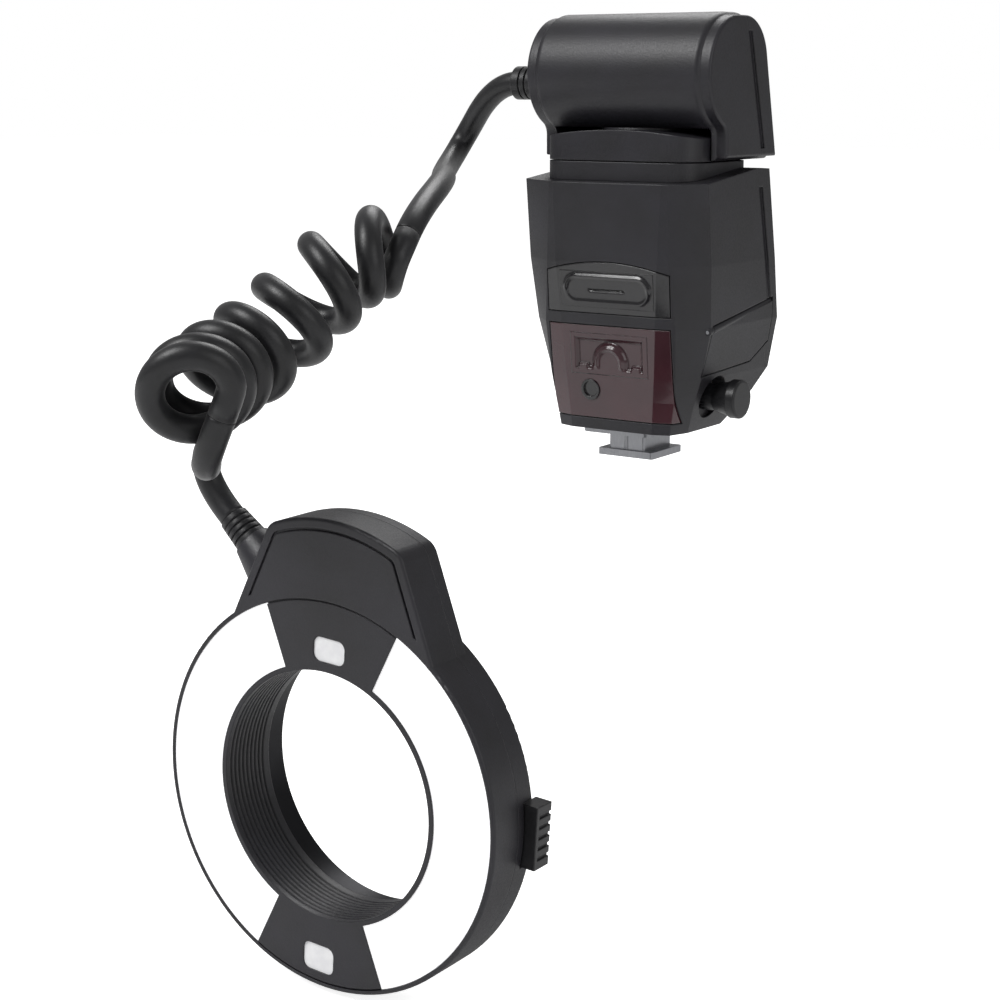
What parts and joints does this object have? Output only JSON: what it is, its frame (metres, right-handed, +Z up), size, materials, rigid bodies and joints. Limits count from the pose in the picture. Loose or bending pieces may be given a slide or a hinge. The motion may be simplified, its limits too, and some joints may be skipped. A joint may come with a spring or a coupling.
{
  "type": "macro ring flash",
  "caption": "Ring flash for close-up work: shoe-mounted control unit with a turning head, and a ring head on a lens adapter, joined by a curly cord.",
  "frame": {"origin": "centre of the shoe foot's underside", "axes": "+Z up, -Y towards the front panel and the subject, +X to the side of the locking knob"},
  "size_m": [0.1203, 0.2268, 0.2419],
  "materials": {
    "black": "fine texture",
    "gloss": "polished",
    "window": "polished, see-through",
    "glass": "polished",
    "white": "frosted",
    "mirror": "polished",
    "tube": "polished",
    "rubber": "satin",
    "steel": "brushed",
    "gold": "polished",
    "aluminium": "anodised",
    "board": "lacquered",
    "lamp": "moulded",
    "display": "satin",
    "cell": "sleeve",
    "button": "satin"
  },
  "bodies": {
    "base": {"body_front_shell": "black", "body_rear_shell": "black", "neck_collar": "black", "battery_tray": "black", "power_socket": "black", "front_cover": "gloss", "sensor_eye": "gloss", "af_window": "window", "lcd_window": "glass", "cord_coil": "rubber", "button_mat": "rubber", "shoe_foot": "steel", "door_pins": "steel", "battery_contacts": "steel", "shoe_contact_pins": "gold", "adapter_ring": "aluminium", "main_circuit_board": "board", "inverter_board": "board", "af_lamp": "lamp", "lcd_module": "display", "battery_cells": "cell"},
    "head": {"head_front_shell": "black", "head_rear_shell": "black", "neck_block": "black", "swivel_spindle": "steel", "main_capacitor": "aluminium", "cord_gland": "rubber", "cord_upper": "rubber"},
    "ring_head": {"ring_front_shell": "black", "ring_rear_shell": "black", "inner_frame": "black", "diffuser_left": "white", "diffuser_right": "white", "reflector_left": "mirror", "reflector_right": "mirror", "flash_tube_left": "tube", "flash_tube_right": "tube", "lamp_windows": "white", "focus_lamps": "lamp", "ring_circuit_board": "board", "ring_screws": "steel", "strain_relief": "rubber", "release_spring_left": "steel", "release_spring_right": "steel", "cord_lower": "rubber"},
    "release_right": {"release_slider_right": "black"},
    "release_left": {"release_slider_left": "black"},
    "battery_door": {"battery_door": "black", "door_contacts": "steel"},
    "terminal_cover": {"terminal_cover": "black"},
    "lock_knob": {"lock_knob": "black"},
    "lock_pin": {"lock_pin": "steel"},
    "power_switch": {"power_switch": "black"},
    "button_mode": {"button_mode": "button"},
    "button_ratio": {"button_ratio": "button"},
    "button_lamp": {"button_lamp": "button"},
    "button_minus": {"button_minus": "button"},
    "button_set": {"button_set": "button"},
    "button_plus": {"button_plus": "button"},
    "button_test": {"button_test": "button"}
  },
  "joints": [
    {"name": "head_swivel", "type": "hinge", "parent": "base", "child": "head", "pos_m": [0, 0.002, 0.0868], "axis": [0, 0, 1], "range_deg": [-90, 90], "deforming": ["cord_upper"]},
    {"name": "ring_turn", "type": "hinge", "parent": "base", "child": "ring_head", "pos_m": [0, -0.13, -0.0629], "axis": [0, 1, 0], "range_deg": [-90, 90], "deforming": ["cord_lower"]},
    {"name": "release_right_press", "type": "slide", "parent": "ring_head", "child": "release_right", "axis": [-0.9979, 0, 0.0645], "range_m": [0, 0.0018], "stiffness_N_per_m": 400, "springref_m": -0.002, "deforming": ["release_spring_right"]},
    {"name": "release_left_press", "type": "slide", "parent": "ring_head", "child": "release_left", "axis": [0.9979, 0, -0.0645], "range_m": [0, 0.0018], "stiffness_N_per_m": 400, "springref_m": -0.002, "deforming": ["release_spring_left"]},
    {"name": "battery_door_hinge", "type": "hinge", "parent": "base", "child": "battery_door", "pos_m": [-0.0292, 0.0065, 0.0766], "axis": [0, 1, 0], "range_deg": [0, 100]},
    {"name": "terminal_cover_hinge", "type": "hinge", "parent": "base", "child": "terminal_cover", "pos_m": [0.0285, -0.0096, 0.0396], "axis": [0, -0.9879, -0.1548], "range_deg": [0, 60]},
    {"name": "lock_knob_turn", "type": "hinge", "parent": "base", "child": "lock_knob", "pos_m": [0, 0, 0.019], "axis": [-1, 0, 0], "range_deg": [0, 90]},
    {"name": "lock_pin_drop", "type": "slide", "parent": "base", "child": "lock_pin", "axis": [0, 0, -1], "range_m": [0, 0.0015]},
    {"name": "power_switch_slide", "type": "slide", "parent": "base", "child": "power_switch", "axis": [-1, 0, 0], "range_m": [0, 0.004]},
    {"name": "button_mode_press", "type": "slide", "parent": "base", "child": "button_mode", "axis": [0, -0.9806, -0.1961], "range_m": [0, 0.0008], "stiffness_N_per_m": 500, "springref_m": -0.0012},
    {"name": "button_ratio_press", "type": "slide", "parent": "base", "child": "button_ratio", "axis": [0, -0.9806, -0.1961], "range_m": [0, 0.0008], "stiffness_N_per_m": 500, "springref_m": -0.0012},
    {"name": "button_lamp_press", "type": "slide", "parent": "base", "child": "button_lamp", "axis": [0, -0.9806, -0.1961], "range_m": [0, 0.0008], "stiffness_N_per_m": 500, "springref_m": -0.0012},
    {"name": "button_minus_press", "type": "slide", "parent": "base", "child": "button_minus", "axis": [0, -0.9806, -0.1961], "range_m": [0, 0.0008], "stiffness_N_per_m": 500, "springref_m": -0.0012},
    {"name": "button_set_press", "type": "slide", "parent": "base", "child": "button_set", "axis": [0, -0.9806, -0.1961], "range_m": [0, 0.0008], "stiffness_N_per_m": 500, "springref_m": -0.0012},
    {"name": "button_plus_press", "type": "slide", "parent": "base", "child": "button_plus", "axis": [0, -0.9806, -0.1961], "range_m": [0, 0.0008], "stiffness_N_per_m": 500, "springref_m": -0.0012},
    {"name": "button_test_press", "type": "slide", "parent": "base", "child": "button_test", "axis": [0, -0.9806, -0.1961], "range_m": [0, 0.0008], "stiffness_N_per_m": 500, "springref_m": -0.0012}
  ],
  "couplings": [
    {"joint": "lock_knob_turn", "follows": "lock_pin_drop", "rad_per_m": 1047}
  ]
}
